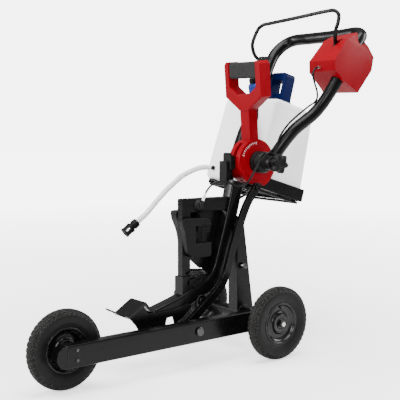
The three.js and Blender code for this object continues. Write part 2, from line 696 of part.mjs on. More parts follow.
function tankRack() {
  const RAIL_Z = -54;
  const rail = (x) => leaning(rod([18, 268], [0, 0], 5, 6).rotateZ(Math.PI / 2).translate(x, 0, RAIL_Z));
  const cross = (y) => leaning(rod([-300, -60], [0, 0], 5, 6).translate(0, y, RAIL_Z));
  const arms = [
    bentRod([[-14, 735, 530], [-16, 790, 546], [-36, 846, 562], [-60, 872, 567.6]], 6, 6, 8),
    bentRod([[-16, 728, 505], [-60, 780, 528], [-150, 850, 560], [-180, 872, 567.6]], 6, 6, 8),
  ];
  return cut(join(rail(-60), rail(-300), cross(20), cross(262), ...arms), columnEnvelope);
}
add("tank_rack", tankRack(), blackPaint);

const TANK_SIDE = [[866, 591], [978, 904], [1137, 859], [1171, 814], [1107, 518]];
const TANK_ROUND = 14;
const NIPPLE_AT = [-290, 880, 630];
const NIPPLE_TILT = 6; // degrees above level
const CAP_AT = [-262, 1098, 870];
const CAP_LEAN = 10; // degrees from upright, forward
const NECK_TOP = 41;

// Along the line of the tank's outlet.
function fromTankFront(geometry) {
  const lift = THREE.MathUtils.degToRad(-NIPPLE_TILT);
  return geometry.rotateX(lift).translate(...NIPPLE_AT);
}

function alongY(profile, sides) {
  const points = profile.map(([radius, along]) => new THREE.Vector2(radius, along));
  return new THREE.LatheGeometry(points, sides).rotateX(Math.PI);
}

// Along the filler neck, upwards from where it leaves the tank.
function onNeck(geometry) {
  return geometry.rotateX(THREE.MathUtils.degToRad(90 + CAP_LEAN)).translate(...CAP_AT);
}

const ARM_GROOVE = [
  [-106, 857, 733], [-130, 899, 784], [-160, 982, 853], [-184, 1038, 930], [-196, 1074, 1004],
];
const NECK_R = 27;
const GROOVE_R = 33;
const GROOVE_STEPS = [0, 7, 14]; // degrees of the handlebar's swing that the groove leaves room for
function armGrooves(radius) {
  return GROOVE_STEPS.map((degrees) => turnedAbout(bentRod(ARM_GROOVE, radius, 10, 8), HUB, degrees));
}
function tank() {
  const shape = roundedOutline(TANK_SIDE, 24);
  const inset = (bevel) => ({
    depth: TANK_X[1] - TANK_X[0] - 2 * TANK_ROUND,
    bevelThickness: bevel,
    bevelSize: bevel,
    bevelOffset: -TANK_ROUND,
    bevelSegments: 2,
    curveSegments: 4,
  });
  const place = (g) => g.translate(0, 0, TANK_X[0] + TANK_ROUND).applyMatrix4(SIDE_VIEW);
  const outer = place(new THREE.ExtrudeGeometry(shape, inset(TANK_ROUND)));
  const inner = place(new THREE.ExtrudeGeometry(shape, inset(TANK_ROUND - TANK_WALL)));
  const wall = cut(outer, ...armGrooves(GROOVE_R));
  const hollow = cut(inner, ...armGrooves(GROOVE_R + TANK_WALL));
  const neckOuter = NECK_R + 6;
  const neckTube = new THREE.CylinderGeometry(neckOuter, neckOuter, NECK_TOP + 30, 24);
  const neckWall = onNeck(neckTube.translate(0, NECK_TOP / 2 - 15, 0));
  const neck = onNeck(new THREE.CylinderGeometry(NECK_R, NECK_R, 140, 20));
  const spout = fromTankFront(new THREE.CylinderGeometry(6.2, 6.2, 40, 14));
  return cut(join(cut(wall, hollow), neckWall), neck, spout);
}
add("water_tank", tank(), whitePlastic);

function fillerCap() {
  const profile = [[0, 41.8], [38, 41.8], [40, 46], [40, 88], [36, 94], [0, 96]];
  const body = new THREE.LatheGeometry(profile.map(([r, h]) => new THREE.Vector2(r, h)), 28);
  const vent = new THREE.CylinderGeometry(14.5, 15, 24, 16).translate(-12, 104, 15);
  return onNeck(join(body, vent));
}
add("filler_cap", fillerCap(), bluePlastic);

const NIPPLE_PROFILE = [[0, -8], [5.6, -8], [5.6, 3.5], [9, 3.5], [9, 8], [6.5, 9], [6.5, 24], [0, 24]];
add("tank_nipple", fromTankFront(alongY(NIPPLE_PROFILE, 14)), blackPlastic);

const HANDLE_AT = [-168, 1098, 870.1];
function carryHandle() {
  const arch = roundedOutline([[-46, 0], [-46, 130], [46, 130], [46, 0]], 18);
  const grip = [[-28, 46], [28, 46], [28, 98], [-28, 98]];
  arch.holes.push(new THREE.Path(grip.map((p) => new THREE.Vector2(...p))));
  const body = extrude(arch, 54, 5).rotateX(Math.PI / 2).translate(0, 27, 0);
  const foot = box([-50, 50], [-28, 28], [0, 20]);
  const [x, y, z] = HANDLE_AT;
  return join(body, foot).rotateX(THREE.MathUtils.degToRad(-15.8)).translate(x, y, z + 0.8);
}
add("carry_handle", carryHandle(), bluePlastic);

// The hose leaves the nipple and curves forward and down to the saw's quick connector.
const HOSE_LINE = [
  [-290, 855.5, 632.6], [-290, 838, 634.4], [-289, 818, 634.5],
  [-287, 792, 631], [-284, 763, 624], [-280, 736, 616],
  [-276, 708, 606], [-271, 680, 591], [-266, 652, 575], [-260, 624, 559], [-254, 597, 541], [-249, 568, 520],
  [-246, 542, 498], [-246, 520, 479], [-249, 503, 465], [-253, 487, 452],
];
add("water_hose", bentRod(HOSE_LINE, HOSE_R, 10, 18), clearHose);

function hoseConnector() {
  const profile = [
    [0, 0.4], [16, 0.4], [17, 20], [14, 22], [14, 26], [19, 28], [19, 64], [12, 64], [12, 32], [0, 32],
  ];
  const body = new THREE.LatheGeometry(profile.map(([r, h]) => new THREE.Vector2(r, h)), 20);
  const WINDOW_TURN = THREE.MathUtils.degToRad(-30); // one pair of windows faces sideways
  const windows = [
    new THREE.BoxGeometry(14, 18, 50).rotateY(WINDOW_TURN).translate(0, 47, 0),
    new THREE.BoxGeometry(50, 18, 14).rotateY(WINDOW_TURN).translate(0, 47, 0),
  ];
  const end = new THREE.Vector3(...HOSE_LINE[HOSE_LINE.length - 1]);
  const before = new THREE.Vector3(...HOSE_LINE[HOSE_LINE.length - 2]);
  const along = end.clone().sub(before).normalize();
  const turn = new THREE.Quaternion().setFromUnitVectors(new THREE.Vector3(0, 1, 0), along);
  return cut(body, ...windows).applyQuaternion(turn).translate(end.x, end.y, end.z);
}
add("hose_connector", hoseConnector(), blackPlastic);

// The origin is the middle of the box around everything but the hose, on the ground.
const CORD_NODES = ["water_hose", "hose_connector"];
const extent = new THREE.Box3();
for (const mesh of machine.children) {
  if (!CORD_NODES.includes(mesh.name)) extent.expandByObject(mesh);
}
const middle = extent.getCenter(new THREE.Vector3());
machine.position.set(-middle.x, -middle.y, -extent.min.z);

export default machine;
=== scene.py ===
"""Looks for the saw cart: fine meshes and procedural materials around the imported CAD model."""
import json
import math

import bmesh
import bpy
from mathutils import Matrix, Vector

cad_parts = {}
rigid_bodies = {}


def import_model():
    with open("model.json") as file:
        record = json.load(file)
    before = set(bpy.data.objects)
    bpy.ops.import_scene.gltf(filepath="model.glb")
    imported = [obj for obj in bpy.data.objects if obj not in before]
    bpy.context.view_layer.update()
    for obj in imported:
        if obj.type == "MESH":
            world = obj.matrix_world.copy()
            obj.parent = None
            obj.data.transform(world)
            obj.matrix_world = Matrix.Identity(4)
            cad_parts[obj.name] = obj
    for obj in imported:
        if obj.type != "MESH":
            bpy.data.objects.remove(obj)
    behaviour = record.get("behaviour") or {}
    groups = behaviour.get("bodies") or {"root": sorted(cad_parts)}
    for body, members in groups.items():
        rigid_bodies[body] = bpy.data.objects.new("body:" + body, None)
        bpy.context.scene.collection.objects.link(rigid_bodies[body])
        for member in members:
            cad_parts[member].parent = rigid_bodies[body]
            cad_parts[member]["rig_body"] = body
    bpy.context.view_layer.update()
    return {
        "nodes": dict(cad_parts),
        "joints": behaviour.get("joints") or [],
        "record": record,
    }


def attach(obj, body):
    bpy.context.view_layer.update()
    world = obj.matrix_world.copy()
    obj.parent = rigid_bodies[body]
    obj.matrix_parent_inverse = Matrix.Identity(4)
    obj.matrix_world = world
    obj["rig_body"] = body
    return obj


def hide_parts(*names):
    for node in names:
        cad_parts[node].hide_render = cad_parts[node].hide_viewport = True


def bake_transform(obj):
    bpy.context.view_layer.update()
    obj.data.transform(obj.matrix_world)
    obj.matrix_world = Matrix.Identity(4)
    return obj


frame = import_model()

NODES = frame["nodes"]
JOINTS = {joint["name"]: joint for joint in frame["joints"]}
SLOT_OF = {part["node"]: part["material_slot"] for part in frame["record"]["subparts"]}
X_AXIS = Vector((1, 0, 0))
MM = 0.001

# The design's own zero is on the ground under the front axle, on the machine's middle line.
HUB_IN_DESIGN = Vector((0, 0.815, 0.672))
DESIGN_ZERO = Vector(JOINTS["handlebar_tilt"]["pos_m"]) - HUB_IN_DESIGN


def at(x, y, z):
    """A point given in the design's own millimetres, in the row frame's metres."""
    return DESIGN_ZERO + Vector((x, y, z)) * MM


def pivot(joint):
    return Vector(JOINTS[joint]["pos_m"])


HUB = pivot("handlebar_tilt")


# ---------- camera ----------

def add_camera():
    """The camera stands at the machine's front left, a little above the hub."""
    data = bpy.data.cameras.new("camera")
    data.sensor_width = 36
    data.lens = 81
    camera = bpy.data.objects.new("camera", data)
    camera.location = at(2437.85, -1356.87, 876.47)
    heading, pitch = math.radians(51.56), math.radians(6.04)
    camera.rotation_euler = (math.radians(90) - pitch, 0, heading)
    bpy.context.collection.objects.link(camera)
    bpy.context.scene.camera = camera


add_camera()


# ---------- lines and meshes ----------

SHORTEST_SPAN = 1e-9  # keeps a doubled point from dividing by zero
ON_AXIS = 1e-7  # a turned profile's point within this radius is a single point on the axis
WELD = 2e-5  # the CAD mesh's points closer together than this are one


def smooth_line(points, per_span=10):
    """Points along a centripetal Catmull-Rom curve through the given points."""
    given = [Vector(p) for p in points]
    chain = [2 * given[0] - given[1]] + given + [2 * given[-1] - given[-2]]
    line = []
    for a, b, c, d in zip(chain, chain[1:], chain[2:], chain[3:]):
        spans = ((a, b), (b, c), (c, d))
        before, span, after = (max((q - p).length, SHORTEST_SPAN) ** 0.5 for p, q in spans)
        leave = ((b - a) / before - (c - a) / (before + span) + (c - b) / span) * span
        arrive = ((c - b) / span - (d - b) / (span + after) + (d - c) / after) * span
        for step in range(per_span):
            u = step / per_span
            cubic = 2 * b - 2 * c + leave + arrive
            square = 3 * (c - b) - 2 * leave - arrive
            line.append(b + leave * u + square * u * u + cubic * u ** 3)
    line.append(given[-1])
    return line


def mesh_piece(name, vertices, faces, sharp_angle=40):
    mesh = bpy.data.meshes.new(name)
    mesh.from_pydata([tuple(v) for v in vertices], [], faces)
    tidy = bmesh.new()
    tidy.from_mesh(mesh)
    bmesh.ops.recalc_face_normals(tidy, faces=tidy.faces)
    tidy.to_mesh(mesh)
    tidy.free()
    piece = bpy.data.objects.new(name, mesh)
    bpy.context.collection.objects.link(piece)
    smooth(piece, sharp_angle)
    return piece


def smooth(piece, sharp_angle=40):
    piece.data.shade_smooth()
    piece.data.set_sharp_from_angle(angle=math.radians(sharp_angle))


def round_section(radius, sides):
    turns = [2 * math.pi * i / sides for i in range(sides)]
    return [(radius * math.cos(t), radius * math.sin(t)) for t in turns]


def rounded_corners(points, radius, steps=5):
    """The closed outline with each corner turned into an arc-like curve."""
    out = []
    count = len(points)
    for i, point in enumerate(points):
        here = Vector(point)
        back = Vector(points[i - 1]) - here
        ahead = Vector(points[(i + 1) % count]) - here
        reach = min(radius, back.length * 0.49, ahead.length * 0.49)
        start, end = here + back.normalized() * reach, here + ahead.normalized() * reach
        for k in range(steps + 1):
            u = k / steps
            out.append(tuple(start * (1 - u) ** 2 + here * 2 * u * (1 - u) + end * u * u))
    return out


def box_section(width, height, radius):
    w, h = width / 2, height / 2
    return rounded_corners([(-w, -h), (w, -h), (w, h), (-w, h)], radius)


def sweep(name, line, section, inner=None, side=None):
    """A bar along a line. With an inner section it is a tube with open ends. The section's first
    axis is side, or else turns as little as it can along the line."""
    line = [Vector(p) for p in line]
    last = len(line) - 1
    vertices, faces = [], []
    across = side
    for i, point in enumerate(line):
        along = (line[min(i + 1, last)] - line[max(i - 1, 0)]).normalized()
        if side is None:
            guess = across if across else along.orthogonal()
            across = (guess - along * guess.dot(along)).normalized()
        up = along.cross(across).normalized()
        for loop in (section, inner or ()):
            vertices += [point + across * a + up * b for a, b in loop]
    outer_count = len(section)
    ring = outer_count + len(inner or ())
    loops = [(0, outer_count)] + ([(outer_count, len(inner))] if inner else [])
    for i in range(last):
        for first, count in loops:
            for k in range(count):
                p, q = i * ring + first + k, i * ring + first + (k + 1) % count
                faces.append((p, q, q + ring, p + ring))
    for end in (0, last * ring):
        if inner:
            for k in range(outer_count):
                n = (k + 1) % outer_count
                faces.append((end + k, end + n, end + outer_count + n, end + outer_count + k))
        else:
            faces.append(tuple(range(end, end + outer_count)))
    return mesh_piece(name, vertices, faces)


def lathe(name, profile, centre, axis=X_AXIS, sides=72, lobes=0, lobe_depth=0.0, lobed=(),
          sharp_angle=40):
    """A turned piece: the profile lists (radius, along) in metres, and closes on itself or on the
    axis. The profile points named in lobed get a wavy radius."""
    axis = Vector(axis).normalized()
    u = axis.orthogonal().normalized()
    v = axis.cross(u)
    vertices, faces, rows = [], [], []
    for k, (radius, along) in enumerate(profile):
        if radius < ON_AXIS:
            rows.append([len(vertices)])
            vertices.append(centre + axis * along)
            continue
        row = []
        for i in range(sides):
            turn = 2 * math.pi * i / sides
            r = radius + (lobe_depth * math.cos(lobes * turn) if k in lobed else 0)
            row.append(len(vertices))
            vertices.append(centre + axis * along + (u * math.cos(turn) + v * math.sin(turn)) * r)
        rows.append(row)
    closed = len(rows[0]) > 1
    pairs = list(zip(rows, rows[1:])) + ([(rows[-1], rows[0])] if closed else [])
    for a, b in pairs:
        for i in range(sides):
            n = (i + 1) % sides
            if len(a) == 1 and len(b) == 1:
                continue
            if len(a) == 1:
                faces.append((a[0], b[n], b[i]))
            elif len(b) == 1:
                faces.append((a[i], a[n], b[0]))
            else:
                faces.append((a[i], a[n], b[n], b[i]))
    return mesh_piece(name, vertices, faces, sharp_angle)


def mirrored(half):
    """A profile given for the + side, from the inside out, continued down the - side."""
    return list(half) + [(r, -x) for r, x in reversed(half)]


def in_mm(profile):
    return [(r * MM, x * MM) for r, x in profile]


def apply_modifiers(piece):
    graph = bpy.context.evaluated_depsgraph_get()
    mesh = bpy.data.meshes.new_from_object(piece.evaluated_get(graph), depsgraph=graph)
    piece.modifiers.clear()
    piece.data = mesh


def copy_of(node, name):
    """A welded copy of a CAD node's mesh, with flat areas back in one face each."""
    mesh = bpy.data.meshes.new(name)
    work = bmesh.new()
    work.from_mesh(NODES[node].data)
    bmesh.ops.remove_doubles(work, verts=work.verts, dist=WELD)
    flat = math.radians(0.6)
    bmesh.ops.dissolve_limit(work, angle_limit=flat, verts=work.verts, edges=work.edges)
    work.to_mesh(mesh)
    work.free()
    for layer in ("custom_normal", "sharp_edge"):
        if layer in mesh.attributes:
            mesh.attributes.remove(mesh.attributes[layer])
    piece = bpy.data.objects.new(name, mesh)
    bpy.context.collection.objects.link(piece)
    return piece


def refined(node, bevel, segments=3):
    """The node's own shape with its edges rounded, by a width in mm."""
    piece = copy_of(node, f"{node}_shell")
    edge = piece.modifiers.new("edges", "BEVEL")
    edge.width = bevel * MM
    edge.segments = segments
    edge.limit_method = "ANGLE"
    edge.angle_limit = math.radians(28)
    edge.use_clamp_overlap = True
    apply_modifiers(piece)
    smooth(piece, 32)
    even = piece.modifiers.new("even", "WEIGHTED_NORMAL")
    even.keep_sharp = True
    apply_modifiers(piece)
    return piece


def merge(name, *pieces):
    """The pieces as one object."""
    work = bmesh.new()
    for piece in pieces:
        work.from_mesh(piece.data)
        bpy.data.objects.remove(piece)
    mesh = bpy.data.meshes.new(name)
    work.to_mesh(mesh)
    work.free()
    whole = bpy.data.objects.new(name, mesh)
    bpy.context.collection.objects.link(whole)
    smooth(whole)
    return whole


# ---------- materials ----------

class Shader:
    """A node tree with one Principled shader, and short calls that add to it."""

    def __init__(self, name, **sockets):
        self.material = bpy.data.materials.new(name)
        self.material.use_nodes = True
        self.tree = self.material.node_tree
        self.shader = self.tree.nodes["Principled BSDF"]
        self.place = self.tree.nodes.new("ShaderNodeTexCoord").outputs["Object"]
        for socket, value in sockets.items():
            self.shader.inputs[socket.replace("_", " ")].default_value = value

    def node(self, kind, inputs=(), **settings):
        made = self.tree.nodes.new(kind)
        for key, value in settings.items():
            setattr(made, key, value)
        for socket, value in dict(inputs).items():
            if isinstance(value, bpy.types.NodeSocket):
                self.tree.links.new(value, made.inputs[socket])
            else:
                made.inputs[socket].default_value = value
        return made

    def noise(self, scale, detail=3, stretch=None):
        where = self.place
        if stretch:
            where = self.node("ShaderNodeMapping", {"Vector": where, "Scale": stretch}).outputs[0]
        sockets = {"Vector": where, "Scale": scale, "Detail": detail}
        return self.node("ShaderNodeTexNoise", sockets).outputs["Fac"]

    def ramp(self, value, low, high, to_low=0.0, to_high=1.0):
        sockets = {
            "Value": value, "From Min": low, "From Max": high, "To Min": to_low, "To Max": to_high,
        }
        return self.node("ShaderNodeMapRange", sockets).outputs[0]

    def math(self, operation, a, b=0.0):
        return self.node("ShaderNodeMath", {0: a, 1: b}, operation=operation).outputs[0]

    def mix(self, factor, a, b):
        return self.node("ShaderNodeMix", {0: factor, 6: a, 7: b}, data_type="RGBA").outputs[2]

    def feed(self, socket, value):
        self.tree.links.new(value, self.shader.inputs[socket])

    def bump(self, height, distance, strength=1.0):
        sockets = {"Height": height, "Distance": distance, "Strength": strength}
        if self.shader.inputs["Normal"].is_linked:
            sockets["Normal"] = self.shader.inputs["Normal"].links[0].from_socket
        self.feed("Normal", self.node("ShaderNodeBump", sockets).outputs[0])

    def edges(self, radius):
        """1 along outside corners, fading within the radius."""
        rounded = self.node("ShaderNodeBevel", {"Radius": radius}, samples=6).outputs["Normal"]
        own = self.node("ShaderNodeNewGeometry").outputs["Normal"]
        both = {0: rounded, 1: own}
        match = self.node("ShaderNodeVectorMath", both, operation="DOT_PRODUCT").outputs["Value"]
        return self.ramp(match, 0.995, 0.93)

    def upward(self):
        normal = self.node("ShaderNodeNewGeometry").outputs["Normal"]
        return self.ramp(self.node("ShaderNodeSeparateXYZ", {0: normal}).outputs[2], 0.4, 1.0)


def grey(value):
    return (value, value, value, 1)


def scaled(colour, factor):
    return tuple(min(1, c * factor) for c in colour[:3]) + (1,)


def painted(name, colour, roughness, peel=1.0, edge_wear_and_highlight=0.3, specular=0.3):
    """Powder coat: orange peel, faint smears, a trace of dust on top faces, and grey edges that
    are partly worn paint and partly a painted highlight for the glints along them. The keyword
    after peel sets how far the greyest edge turns grey."""
    s = Shader(name, Specular_IOR_Level=specular)
    base = s.mix(s.noise(9, 4), scaled(colour, 0.8), scaled(colour, 1.25))
    dust = s.math("MULTIPLY", s.upward(), s.ramp(s.noise(30, 5), 0.5, 0.8, 0, 0.03))
    base = s.mix(dust, base, (0.1, 0.095, 0.085, 1))
    patches = s.ramp(s.noise(60, 5), 0.45, 0.6, edge_wear_and_highlight * 0.25, edge_wear_and_highlight)
    # Grey edges: partly worn paint, partly a painted highlight standing in for the glints along
    # the edges.
    edge_wear_and_highlight_mask = s.math("MULTIPLY", s.edges(0.0016), patches)
    s.feed("Base Color", s.mix(edge_wear_and_highlight_mask, base, grey(0.12)))
    smears = s.noise(22, 5, (1, 1, 3))
    s.feed("Roughness", s.ramp(smears, 0.3, 0.75, roughness - 0.05, roughness + 0.08))
    s.bump(s.noise(850, 2), 0.0001 * peel, 0.4)
    return s.material


def moulded(name, colour, roughness, grain=1.0, specular=0.4):
    """Moulded plastic: fine spark-eroded grain, faint flow marks, scuffs and worn corners."""
    s = Shader(name, Specular_IOR_Level=specular)
    base = s.mix(s.noise(14, 3, (1, 1, 0.35)), scaled(colour, 0.88), scaled(colour, 1.1))
    scuffs = s.ramp(s.noise(70, 6, (6, 1, 1)), 0.64, 0.74, 0, 0.05)
    worn = s.math("ADD", scuffs, s.math("MULTIPLY", s.edges(0.0012), 0.06))
    s.feed("Base Color", s.mix(worn, base, tuple(0.8 * c + 0.05 for c in colour[:3]) + (1,)))
    s.feed("Roughness", s.ramp(s.noise(45, 5), 0.3, 0.7, roughness - 0.07, roughness + 0.07))
    s.bump(s.noise(2200, 2), 0.00006 * grain, 0.5)
    return s.material


def tyre_rubber():
    """Tyre rubber, greyer along the lugs' edges: partly scrubbed rubber, partly a painted
    highlight for the lugs' glints.
    """
    s = Shader("tyre_rubber", Specular_IOR_Level=0.13)
    base = s.mix(s.noise(26, 5), grey(0.003), grey(0.006))
    # Greyer lug edges: partly scrubbed rubber, partly a painted highlight standing in for the
    # lugs' glints.
    scrub_and_highlight = s.math("MULTIPLY", s.edges(0.0022), s.ramp(s.noise(150, 4), 0.3, 0.6, 0.1, 0.9))
    s.feed("Base Color", s.mix(scrub_and_highlight, base, (0.07, 0.068, 0.064, 1)))
    s.feed("Roughness", s.ramp(s.noise(60, 4), 0.3, 0.7, 0.38, 0.52))
    s.bump(s.noise(1300, 3), 0.00015, 0.5)
    return s.material


WAVE_PITCH = 0.314  # metres from one wave to the next at scale 1


def soft_rubber(name, value, roughness, ribs=0.0):
    """Soft rubber; ribs is the pitch of the grip's fine grooves in metres, or 0."""
    s = Shader(name, Specular_IOR_Level=0.16)
    s.feed("Base Color", s.mix(s.noise(30, 4), grey(value * 0.8), grey(value * 1.3)))
    s.feed("Roughness", s.ramp(s.noise(80, 4), 0.3, 0.7, roughness - 0.08, roughness + 0.08))
    s.bump(s.noise(1800, 2), 0.0001, 0.6)
    if ribs:
        sockets = {"Vector": s.place, "Scale": WAVE_PITCH / ribs}
        waves = s.node("ShaderNodeTexWave", sockets, bands_direction="X")
        s.bump(s.ramp(waves.outputs["Fac"], 0.25, 0.5), 0.0004, 0.7)
    return s.material


def plated(name, dull, bright):
    """Plated steel with fine turning marks, between a dull and a bright tone."""
    s = Shader(name, Metallic=1.0)
    s.feed("Base Color", s.mix(s.noise(60, 4), dull, bright))
    s.feed("Roughness", s.ramp(s.noise(90, 5, (8, 1, 1)), 0.3, 0.7, 0.2, 0.42))
    s.bump(s.noise(700, 3, (6, 1, 1)), 0.00005, 0.5)
    return s.material


def tank_plastic():
    """Natural polyethylene: milky, a little translucent, waxy, with a mould's parting line."""
    s = Shader("tank_plastic", Subsurface_Weight=0.3, Subsurface_Scale=0.02)
    s.shader.inputs["Subsurface Radius"].default_value = (1.0, 0.97, 0.92)
    cloud = s.mix(s.noise(7, 3, (1, 1, 0.5)), (0.86, 0.865, 0.865, 1), (0.93, 0.935, 0.935, 1))
    stain = s.ramp(s.noise(36, 5), 0.66, 0.84, 0, 0.06)
    s.feed("Base Color", s.mix(stain, cloud, (0.7, 0.69, 0.64, 1)))
    s.feed("Roughness", s.ramp(s.noise(50, 4), 0.3, 0.7, 0.34, 0.46))
    s.bump(s.noise(500, 3), 0.0001, 0.4)
    s.bump(s.noise(12, 2), 0.0012, 0.3)
    across = s.node("ShaderNodeSeparateXYZ", {0: s.place}).outputs[0]
    off_middle = s.math("ABSOLUTE", s.math("SUBTRACT", across, at(sum(TANK_X) / 2, 0, 0).x))
    s.bump(s.ramp(off_middle, 0.0016, 0.0006), 0.0009, 0.8)
    return s.material


def clear_hose():
    """Clear flexible PVC, slightly clouded."""
    s = Shader("clear_hose", Transmission_Weight=0.3, IOR=1.42)
    s.feed("Base Color", s.mix(s.noise(40, 3), (0.84, 0.855, 0.86, 1), (0.94, 0.945, 0.945, 1)))
    s.feed("Roughness", s.ramp(s.noise(90, 3), 0.3, 0.7, 0.12, 0.26))
    s.bump(s.noise(300, 2), 0.00008, 0.4)
    return s.material


TANK_X = (-335, -40)  # the tank's far and near faces

# One material for each of the record's slots, and two more: a duller steel and the printed marks.
MATERIALS = {
    "tyre_rubber": tyre_rubber(),
    # The grey edges of the rims and the black paint are partly worn paint, partly a painted
    # highlight.
    "rim_paint": painted("rim_paint", grey(0.002), 0.24, peel=0.6, edge_wear_and_highlight=0.9, specular=0.3),
    "black_paint": painted("black_paint", grey(0.002), 0.22, edge_wear_and_highlight=0.5, specular=0.15),
    "zinc_steel": plated("zinc_steel", (0.42, 0.42, 0.43, 1), (0.6, 0.58, 0.53, 1)),
    "dark_steel": plated("dark_steel", grey(0.035), grey(0.09)),
    "black_plastic": moulded("black_plastic", grey(0.003), 0.42, specular=0.12),
    "cable_rubber": soft_rubber("cable_rubber", 0.004, 0.45),
    "red_plastic": moulded(
        "red_plastic", (0.18, 0.0002, 0.0045, 1), 0.38, grain=0.8, specular=0.05,
    ),
    "grip_rubber": soft_rubber("grip_rubber", 0.012, 0.6, ribs=0.004),
    "blue_plastic": moulded("blue_plastic", (0.0004, 0.0035, 0.036, 1), 0.36, specular=0.05),
    "light_blue_plastic": moulded(
        "light_blue_plastic", (0.004, 0.018, 0.14, 1), 0.34, specular=0.2,
    ),
    "tank_plastic": tank_plastic(),
    "clear_hose": clear_hose(),
    "scale_print": moulded("scale_print", (0.75, 0.74, 0.72, 1), 0.5),
}


def wear_slot(piece, slot):
    """Gives the piece the slot's material."""
    piece.data.materials.clear()
    piece.data.materials.append(MATERIALS[slot])


def stands_for(piece, node, look=None):
    """The piece takes the node's place, on its body and with its slot's material. A look changes
    only the piece's material."""
    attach(piece, NODES[node]["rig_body"])
    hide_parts(node)
    wear_slot(piece, SLOT_OF[node])
    if look:
        piece.data.materials[0] = MATERIALS[look]
    return piece


def extra(piece, body, slot):
    """A small piece that the CAD model leaves out."""
    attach(piece, body)
    wear_slot(piece, slot)
    return piece


for node, cad in NODES.items():
    cad.data.materials.clear()
    cad.data.materials.append(MATERIALS[SLOT_OF[node]])


# ---------- water hose ----------

HOSE_R = 10 * MM
HOSE_BORE_R = 7.5 * MM
HOSE_POINTS = [
    (-290, 855.5, 632.6), (-290, 838, 634.4), (-289, 818, 634.5), (-287, 792, 631),
    (-284, 763, 624), (-280, 736, 616), (-276, 708, 606), (-271, 680, 591), (-266, 652, 575),
    (-260, 624, 559), (-254, 597, 541), (-249, 568, 520), (-246, 542, 498), (-246, 520, 479),
    (-249, 503, 465), (-253, 487, 452),
]
hose_line = smooth_line([at(*p) for p in HOSE_POINTS], 6)
hose = sweep(
    "water_hose_tube", hose_line, round_section(HOSE_R, 20), round_section(HOSE_BORE_R, 20),
)
stands_for(hose, "water_hose")
connector = stands_for(refined("hose_connector", 0.8, 2), "hose_connector")


# ---------- wheels ----------

WHEELS = ("front_wheel", "rear_left_wheel", "rear_right_wheel")
TYRE_R = 127
TYRE_HALF = [  # (radius, distance from the tyre's middle plane), from the bead out to the tread
    (73, 16.6), (76.5, 19.2), (80, 20.4), (84, 21.6), (86, 22.9), (88, 22.9), (90, 23.2),
    (96, 24.6), (102, 24.9), (106, 24.8), (109.5, 24.4), (112, 23.8), (114.5, 23.0), (117, 21.9),
    (119, 20.7), (121, 19.2), (122.6, 17.5), (124, 15.6), (125.1, 13.5), (125.9, 11.5),
    (126.4, 9.6), (126.7, 7.6), (126.85, 5.6), (126.95, 3.6), (TYRE_R, 1.3),
]

# The tread, in mm. Places across it are distances along the tyre's skin from its middle line.
TREAD_REACH = 31.5
TREAD_FADE = 2.0
LUG_PITCHES = 42
STEPS_PER_LUG = 10
LUG_DEPTH = 4.2
LUG_ROWS = (-30.5, -22.3, -14.8, -6.8, 0, 6.8, 14.8, 22.3, 30.5)
GROOVE_HALF = 1.3
ZIGZAG = 1.3
LUG_LEAN = 0.0015  # radians round the wheel for each mm across
SHOULDER_FROM = 14.8  # beyond this the cross grooves line up and are wider
SHOULDER_EXTRA = 1.4
SIDE_WALL_R, TREAD_RISE = 104, 24  # set how steeply the grooves go in: sideways at the side wall
FLAT_HALF = 20  # within this of the middle plane the grooves go less and less sideways


def lug_height(skin, turn):
    """0 in a groove and 1 on a lug, for a place across the tread and a turn round the wheel."""
    zigzag = ZIGZAG * math.sin(LUG_PITCHES * turn)
    from_row_edge = min(abs(skin + zigzag - edge) for edge in LUG_ROWS)
    row = sum(skin + zigzag > edge for edge in LUG_ROWS)
    stagger = 0.5 * (row % 2) if abs(skin) < SHOULDER_FROM else 0
    phase = (LUG_PITCHES * (turn + LUG_LEAN * skin) / (2 * math.pi) + stagger) % 1
    pitch = 2 * math.pi * TYRE_R / LUG_PITCHES
    from_gap = min(phase, 1 - phase) * pitch
    if abs(skin) > SHOULDER_FROM:
        from_gap -= SHOULDER_EXTRA
    nearest = min(from_row_edge, from_gap)
    ramp = min(1, max(0, (nearest - GROOVE_HALF * 0.6) / (GROOVE_HALF * 0.9)))
    return ramp * ramp * (3 - 2 * ramp)


def tyre(wheel):
    """A tyre whose grooves go in along the tread's own slope."""
    centre = pivot(f"{wheel}_spin")
    profile = mirrored(TYRE_HALF)
    skin = []
    for (r0, x0), (r1, x1) in zip(profile, profile[1:]):
        skin.append(math.hypot(r1 - r0, x1 - x0))
    middle = sum(skin) / 2
    reach = [sum(skin[:i]) - middle for i in range(len(profile))]
    steps = LUG_PITCHES * STEPS_PER_LUG
    vertices, faces = [], []
    for (radius, x), along in zip(profile, reach):
        depth = LUG_DEPTH * min(1, max(0, (TREAD_REACH - abs(along)) / TREAD_FADE))
        on_tread = abs(along) < TREAD_REACH
        tilt = math.atan2(max(0, radius - SIDE_WALL_R), TREAD_RISE) if on_tread else 0
        inward = math.cos(tilt) * min(1, abs(x) / FLAT_HALF)
        for i in range(steps):
            turn = 2 * math.pi * i / steps
            drop = depth * (1 - lug_height(along, turn))
            r = (radius - drop * math.sin(tilt)) * MM
            side = x - math.copysign(drop * inward, x)
            vertices.append(centre + Vector((side * MM, r * math.sin(turn), r * math.cos(turn))))
    count = len(profile)
    for k in range(count):
        n = (k + 1) % count
        for i in range(steps):
            j = (i + 1) % steps
            faces.append((k * steps + i, k * steps + j, n * steps + j, n * steps + i))
    return mesh_piece(f"{wheel}_tread_tyre", vertices, faces, 50)


